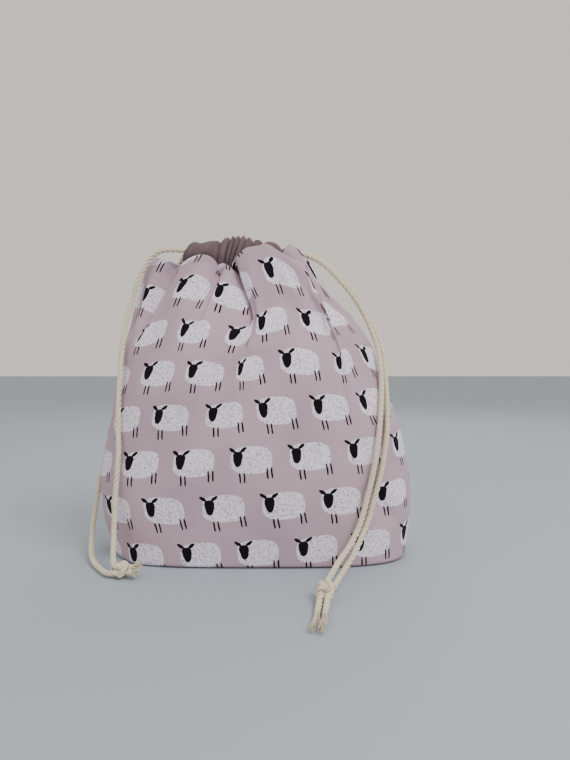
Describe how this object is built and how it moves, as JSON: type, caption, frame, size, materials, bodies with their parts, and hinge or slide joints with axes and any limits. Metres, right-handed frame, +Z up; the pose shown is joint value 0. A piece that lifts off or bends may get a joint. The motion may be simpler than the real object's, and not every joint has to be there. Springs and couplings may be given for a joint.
{
  "type": "drawstring project bag",
  "caption": "Lined cotton knitting project bag with boxed base, gathered casings at the mouth and knotted cord drawstrings at both sides.",
  "frame": {"origin": "middle of the base, on the surface that the bag stands on", "axes": "+Z up towards the mouth, -Y to the front, +X to the right seen from the front"},
  "size_m": [0.3082, 0.271, 0.3025],
  "materials": {
    "printed_cotton": "plain-weave printed cotton, dusty pink ground with pale animal motifs, matt",
    "taupe_cotton": "plain-weave dyed cotton, brown-mauve, matt",
    "interfacing": "non-woven stiffener, off-white, matt",
    "cotton_cord": "three-strand twisted natural cotton, matt with loose fibres"
  },
  "bodies": {
    "bag": {"outer_front_panel": "printed_cotton", "outer_back_panel": "printed_cotton", "interfacing_front": "interfacing", "interfacing_back": "interfacing", "lining_front_panel": "taupe_cotton", "lining_back_panel": "taupe_cotton", "left_drawstring_return": "cotton_cord", "right_drawstring_return": "cotton_cord", "left_drawstring_front_leg": "cotton_cord", "left_drawstring_back_leg": "cotton_cord", "right_drawstring_front_leg": "cotton_cord", "right_drawstring_back_leg": "cotton_cord"},
    "front_mouth": {"outer_front_shoulder": "printed_cotton", "lining_front_shoulder": "taupe_cotton", "casing_front": "taupe_cotton", "left_drawstring_front_run": "cotton_cord", "right_drawstring_front_run": "cotton_cord"},
    "back_mouth": {"outer_back_shoulder": "printed_cotton", "lining_back_shoulder": "taupe_cotton", "casing_back": "taupe_cotton", "left_drawstring_back_run": "cotton_cord", "right_drawstring_back_run": "cotton_cord"},
    "left_drawstring": {"left_knot": "cotton_cord", "left_tail_front": "cotton_cord", "left_tail_back": "cotton_cord"},
    "right_drawstring": {"right_knot": "cotton_cord", "right_tail_front": "cotton_cord", "right_tail_back": "cotton_cord"}
  },
  "joints": [
    {"name": "mouth_front_open", "type": "hinge", "parent": "bag", "child": "front_mouth", "pos_m": [-0.0195, -0.0585, 0.19], "axis": [1, 0, 0], "range_deg": [0, 35]},
    {"name": "mouth_back_open", "type": "hinge", "parent": "bag", "child": "back_mouth", "pos_m": [-0.0195, 0.0585, 0.19], "axis": [-1, 0, 0], "range_deg": [0, 35]},
    {"name": "left_drawstring_draw", "type": "slide", "parent": "bag", "child": "left_drawstring", "axis": [0, 0, 1], "range_m": [0, 0.1005], "deforming": ["left_drawstring_front_leg", "left_drawstring_back_leg"]},
    {"name": "right_drawstring_draw", "type": "slide", "parent": "bag", "child": "right_drawstring", "axis": [0, 0, 1], "range_m": [0, 0.1005], "deforming": ["right_drawstring_front_leg", "right_drawstring_back_leg"]}
  ],
  "couplings": [
    {"joint": "mouth_back_open", "follows": "mouth_front_open", "ratio": 1},
    {"joint": "left_drawstring_draw", "follows": "mouth_front_open", "m_per_rad": 0.1637},
    {"joint": "right_drawstring_draw", "follows": "mouth_front_open", "m_per_rad": 0.1637}
  ]
}
